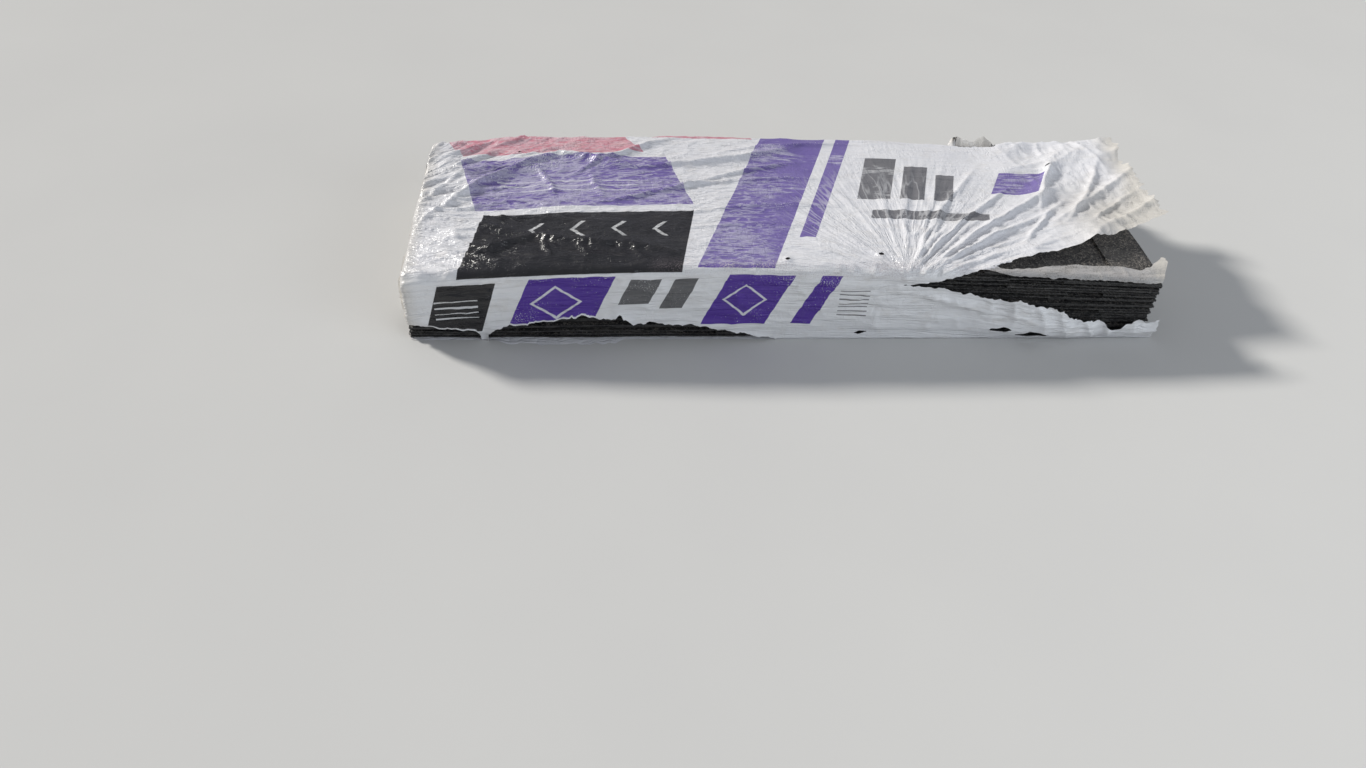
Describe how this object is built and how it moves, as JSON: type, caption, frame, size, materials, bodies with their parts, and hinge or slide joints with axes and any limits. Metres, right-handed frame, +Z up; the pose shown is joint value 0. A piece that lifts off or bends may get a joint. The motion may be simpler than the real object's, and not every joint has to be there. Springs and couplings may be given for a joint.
{
  "type": "asphalt shingle bundle",
  "caption": "Bundle of laminated asphalt roof shingles, stacked face to face in a plastic film wrapper that is torn along its front and open at one end.",
  "frame": {"origin": "on the ground under the middle of the stack of shingles, in the plane that the film rests on", "axes": "+X along the bundle from its closed end to its torn open end, +Y from its front to its back, +Z up through the stack"},
  "size_m": [1.0568, 0.3466, 0.1306],
  "materials": {
    "shingle": "mineral granules on asphalt, rough, near black",
    "film": "thin white printed plastic film, creased, with a low gloss"
  },
  "bodies": {
    "root": {"shingle_01": "shingle", "shingle_02": "shingle", "shingle_03": "shingle", "shingle_04": "shingle", "shingle_05": "shingle", "shingle_06": "shingle", "shingle_07": "shingle", "shingle_08": "shingle", "shingle_09": "shingle", "shingle_10": "shingle", "shingle_11": "shingle", "shingle_12": "shingle", "shingle_13": "shingle", "shingle_14": "shingle", "shingle_15": "shingle", "shingle_16": "shingle", "shingle_17": "shingle", "shingle_18": "shingle", "shingle_19": "shingle", "shingle_20": "shingle", "shingle_21": "shingle", "shingle_22": "shingle", "wrapper": "film"}
  },
  "joints": []
}
